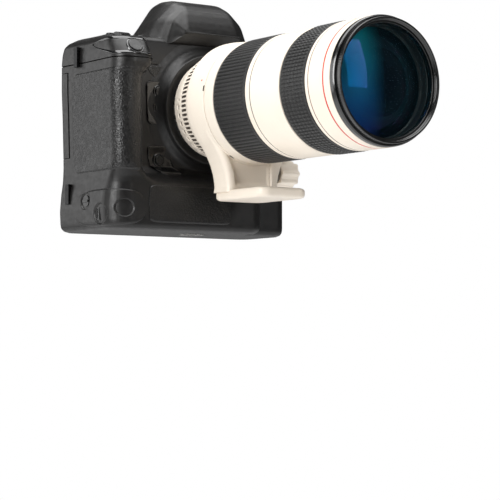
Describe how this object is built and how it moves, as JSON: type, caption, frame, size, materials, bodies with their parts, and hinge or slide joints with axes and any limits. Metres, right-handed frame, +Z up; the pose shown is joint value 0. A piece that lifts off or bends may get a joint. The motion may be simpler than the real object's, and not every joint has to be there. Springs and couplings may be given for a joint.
{
  "type": "dslr camera",
  "caption": "Large camera body with a built-in vertical grip and prism hump, fitted with a long telephoto zoom lens on a turning tripod collar with a foot.",
  "frame": {"origin": "centre of the mouth of the tripod socket in the camera's base, under the optical axis", "axes": "-Y is the way the lens points, +Z is up, the hand grip is on the -X side"},
  "size_m": [0.164, 0.2671, 0.1676],
  "materials": {
    "body_paint": "fine-textured black paint on magnesium alloy",
    "rubber": "pebbled synthetic rubber",
    "black_plastic": "satin moulded plastic",
    "lens_white": "baked off-white enamel on aluminium",
    "lens_black": "satin black anodised look",
    "ring_rubber": "ribbed synthetic rubber",
    "bright_steel": "turned stainless steel",
    "optical_glass": "multi-coated optical glass",
    "display_glass": "polished cover over a dark display",
    "mirror_glass": "front-silvered",
    "inner_metal": "blackened alloy",
    "group_cell": "blackened lens cell with its elements"
  },
  "bodies": {
    "camera_body": {"front_cover": "body_paint", "rear_cover": "body_paint", "base_plate": "body_paint", "tripod_socket": "bright_steel", "prism_cover": "body_paint", "top_cover": "body_paint", "top_display": "display_glass", "accessory_shoe": "bright_steel", "grip_rubber": "rubber", "base_rubber": "rubber", "strap_lugs": "bright_steel", "mirror_box": "inner_metal", "focusing_screen": "optical_glass", "pentaprism": "optical_glass", "shutter_frame": "inner_metal", "image_sensor": "display_glass", "mount_ring": "bright_steel", "rear_screen": "display_glass", "eyecup": "rubber", "eyepiece_lens": "optical_glass"},
    "lens": {"lens_bayonet": "bright_steel", "rear_barrel": "lens_white", "main_tube": "lens_white", "middle_barrel": "lens_white", "front_barrel": "lens_white", "front_ring": "lens_black", "front_element": "optical_glass", "filter_ring": "lens_black", "filter_glass": "optical_glass"},
    "collar": {"tripod_collar": "lens_white"},
    "collar_knob": {"collar_knob": "lens_white"},
    "zoom": {"zoom_ring": "lens_black", "zoom_rubber": "ring_rubber"},
    "focus": {"focus_ring": "lens_black", "focus_rubber": "ring_rubber"},
    "zoom_group": {"zoom_group": "group_cell"},
    "focus_group": {"focus_group": "group_cell"},
    "focus_switch": {"focus_switch": "black_plastic"},
    "battery": {"battery_pack": "black_plastic"},
    "battery_latch": {"battery_latch": "bright_steel"},
    "mirror": {"mirror": "mirror_glass"},
    "shutter_blades": {"shutter_blades": "inner_metal"},
    "upper_function_button": {"upper_function_button": "black_plastic"},
    "middle_function_button": {"middle_function_button": "black_plastic"},
    "lower_function_button": {"lower_function_button": "black_plastic"},
    "lens_release_button": {"lens_release_button": "black_plastic"},
    "vertical_shutter_button": {"vertical_shutter_button": "black_plastic"},
    "shutter_button": {"shutter_button": "black_plastic"},
    "light_button": {"light_button": "black_plastic"},
    "iso_button": {"iso_button": "black_plastic"},
    "exposure_button": {"exposure_button": "black_plastic"},
    "menu_button": {"menu_button": "black_plastic"},
    "playback_button": {"playback_button": "black_plastic"},
    "main_dial": {"main_dial": "black_plastic"},
    "vertical_dial": {"vertical_dial": "black_plastic"},
    "rear_dial": {"rear_dial": "black_plastic"},
    "power_switch": {"power_switch": "black_plastic"},
    "vertical_lock_lever": {"vertical_lock_lever": "black_plastic"},
    "card_door": {"card_door": "body_paint"},
    "terminal_cover": {"terminal_cover": "rubber"}
  },
  "joints": [
    {"name": "upper_function_press", "type": "slide", "parent": "camera_body", "child": "upper_function_button", "axis": [0, 1, 0], "range_m": [0, 0.0012], "stiffness_N_per_m": 250, "springref_m": -0.0015},
    {"name": "middle_function_press", "type": "slide", "parent": "camera_body", "child": "middle_function_button", "axis": [0, 1, 0], "range_m": [0, 0.0012], "stiffness_N_per_m": 250, "springref_m": -0.0015},
    {"name": "lower_function_press", "type": "slide", "parent": "camera_body", "child": "lower_function_button", "axis": [0, 1, 0], "range_m": [0, 0.0012], "stiffness_N_per_m": 250, "springref_m": -0.0015},
    {"name": "lens_release_press", "type": "slide", "parent": "camera_body", "child": "lens_release_button", "axis": [0, 1, 0], "range_m": [0, 0.0025], "stiffness_N_per_m": 250, "springref_m": -0.0015},
    {"name": "vertical_shutter_press", "type": "slide", "parent": "camera_body", "child": "vertical_shutter_button", "axis": [0.5592, 0.829, 0], "range_m": [0, 0.001], "stiffness_N_per_m": 250, "springref_m": -0.0015},
    {"name": "shutter_press", "type": "slide", "parent": "camera_body", "child": "shutter_button", "axis": [0, 0.8, -0.6], "range_m": [0, 0.001], "stiffness_N_per_m": 250, "springref_m": -0.0015},
    {"name": "light_press", "type": "slide", "parent": "camera_body", "child": "light_button", "axis": [0, 0, -1], "range_m": [0, 0.0012], "stiffness_N_per_m": 250, "springref_m": -0.0015},
    {"name": "iso_press", "type": "slide", "parent": "camera_body", "child": "iso_button", "axis": [0, 0, -1], "range_m": [0, 0.0012], "stiffness_N_per_m": 250, "springref_m": -0.0015},
    {"name": "exposure_press", "type": "slide", "parent": "camera_body", "child": "exposure_button", "axis": [0, 0, -1], "range_m": [0, 0.0012], "stiffness_N_per_m": 250, "springref_m": -0.0015},
    {"name": "menu_press", "type": "slide", "parent": "camera_body", "child": "menu_button", "axis": [0, -1, 0], "range_m": [0, 0.001], "stiffness_N_per_m": 250, "springref_m": -0.0015},
    {"name": "playback_press", "type": "slide", "parent": "camera_body", "child": "playback_button", "axis": [0, -1, 0], "range_m": [0, 0.001], "stiffness_N_per_m": 250, "springref_m": -0.0015},
    {"name": "main_dial_turn", "type": "hinge", "parent": "camera_body", "child": "main_dial", "pos_m": [-0.072, -0.021, 0.1285], "axis": [1, 0, 0], "continuous": true},
    {"name": "vertical_dial_turn", "type": "hinge", "parent": "camera_body", "child": "vertical_dial", "pos_m": [-0.08087, -0.01979, 0.0108], "axis": [0, 0, 1], "continuous": true},
    {"name": "rear_dial_turn", "type": "hinge", "parent": "camera_body", "child": "rear_dial", "pos_m": [-0.0535, 0.034, 0.068], "axis": [0, 1, 0], "continuous": true},
    {"name": "power_switch_turn", "type": "hinge", "parent": "camera_body", "child": "power_switch", "pos_m": [-0.052, 0.034, 0.04], "axis": [0, 1, 0], "range_deg": [0, 40]},
    {"name": "vertical_lock_turn", "type": "hinge", "parent": "camera_body", "child": "vertical_lock_lever", "pos_m": [-0.088, -0.003, 0.0205], "axis": [-1, 0, 0], "range_deg": [0, 40]},
    {"name": "card_door_swing", "type": "hinge", "parent": "camera_body", "child": "card_door", "pos_m": [-0.087, 0.0239, 0.082], "axis": [0, 0, 1], "range_deg": [0, 100]},
    {"name": "battery_slide", "type": "slide", "parent": "camera_body", "child": "battery", "axis": [1, 0, 0], "range_m": [0, 0.062]},
    {"name": "battery_latch_turn", "type": "hinge", "parent": "battery", "child": "battery_latch", "pos_m": [0.07, 0.006, 0.019], "axis": [1, 0, 0], "range_deg": [0, 90]},
    {"name": "terminal_cover_swing", "type": "hinge", "parent": "camera_body", "child": "terminal_cover", "pos_m": [0.07, -0.008, 0.081], "axis": [0, 0, -1], "range_deg": [0, 110]},
    {"name": "mirror_flip", "type": "hinge", "parent": "camera_body", "child": "mirror", "pos_m": [0, 0.004, 0.101], "axis": [-1, 0, 0], "range_deg": [0, 45], "stiffness_Nm_per_rad": 0.002, "springref_deg": -28.65},
    {"name": "shutter_travel", "type": "slide", "parent": "camera_body", "child": "shutter_blades", "axis": [0, 0, -1], "range_m": [0, 0.0255], "stiffness_N_per_m": 4, "springref_m": -0.02},
    {"name": "lens_turn", "type": "hinge", "parent": "camera_body", "child": "lens", "pos_m": [0, -0.03, 0.087], "axis": [0, -1, 0], "range_deg": [0, 60]},
    {"name": "collar_turn", "type": "hinge", "parent": "lens", "child": "collar", "pos_m": [0, -0.03, 0.087], "axis": [0, -1, 0], "continuous": true},
    {"name": "collar_knob_turn", "type": "hinge", "parent": "collar", "child": "collar_knob", "pos_m": [0.026, -0.0676, 0.0405], "axis": [1, 0, 0], "range_deg": [0, 360]},
    {"name": "zoom_turn", "type": "hinge", "parent": "lens", "child": "zoom", "pos_m": [0, -0.03, 0.087], "axis": [0, -1, 0], "range_deg": [0, 70]},
    {"name": "focus_turn", "type": "hinge", "parent": "lens", "child": "focus", "pos_m": [0, -0.03, 0.087], "axis": [0, -1, 0], "range_deg": [0, 110]},
    {"name": "zoom_group_travel", "type": "slide", "parent": "lens", "child": "zoom_group", "axis": [0, -1, 0], "range_m": [0, 0.0182]},
    {"name": "focus_group_travel", "type": "slide", "parent": "lens", "child": "focus_group", "axis": [0, -1, 0], "range_m": [0, 0.0082]},
    {"name": "focus_switch_slide", "type": "slide", "parent": "lens", "child": "focus_switch", "axis": [0, -1, 0], "range_m": [0, 0.004]}
  ],
  "couplings": [
    {"joint": "zoom_group_travel", "follows": "zoom_turn", "m_per_rad": 0.014733},
    {"joint": "focus_group_travel", "follows": "focus_turn", "m_per_rad": 0.004167}
  ]
}
